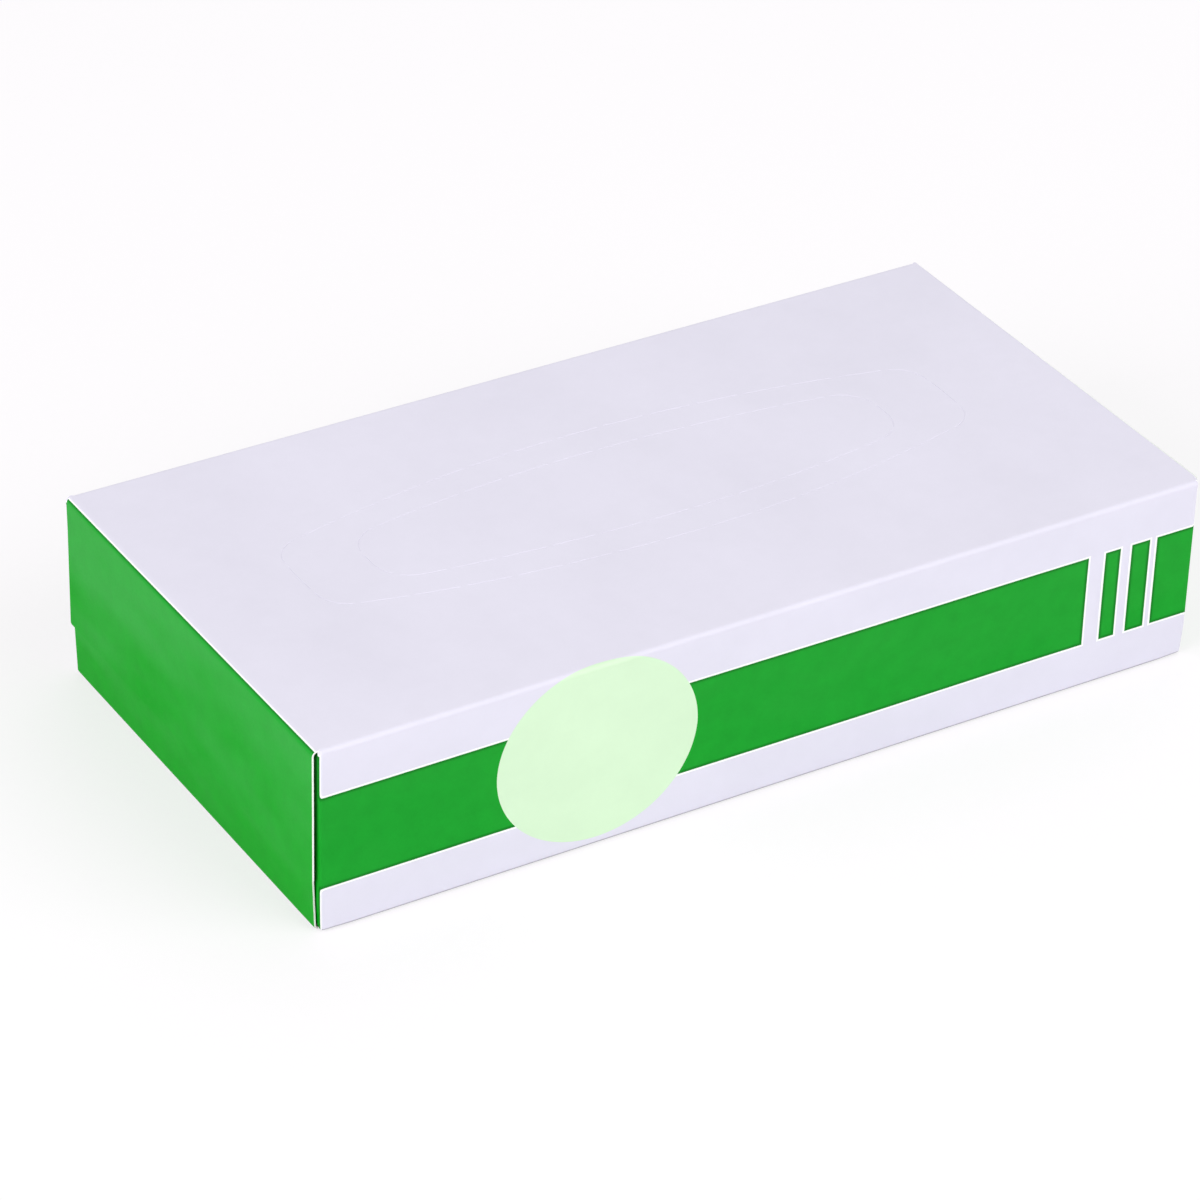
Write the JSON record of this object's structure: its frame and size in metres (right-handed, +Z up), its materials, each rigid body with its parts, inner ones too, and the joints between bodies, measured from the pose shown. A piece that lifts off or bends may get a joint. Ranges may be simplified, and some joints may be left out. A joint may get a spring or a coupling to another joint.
{
  "type": "tissue box",
  "caption": "Flat oblong folded-board tissue box, sealed and full, with glued end flaps and a perforated tear-out panel in the top.",
  "frame": {"origin": "centre of the base, on the surface that the box stands on", "axes": "+X along the long side of the box, +Y from the printed front panel to the rear panel, +Z up through the tear-out top"},
  "size_m": [0.236, 0.12, 0.048],
  "materials": {
    "coated_board": "satin clay-coated board, printed lavender white with green bands, stripes and ends"
  },
  "bodies": {
    "root": {"carton": "coated_board"}
  },
  "joints": []
}
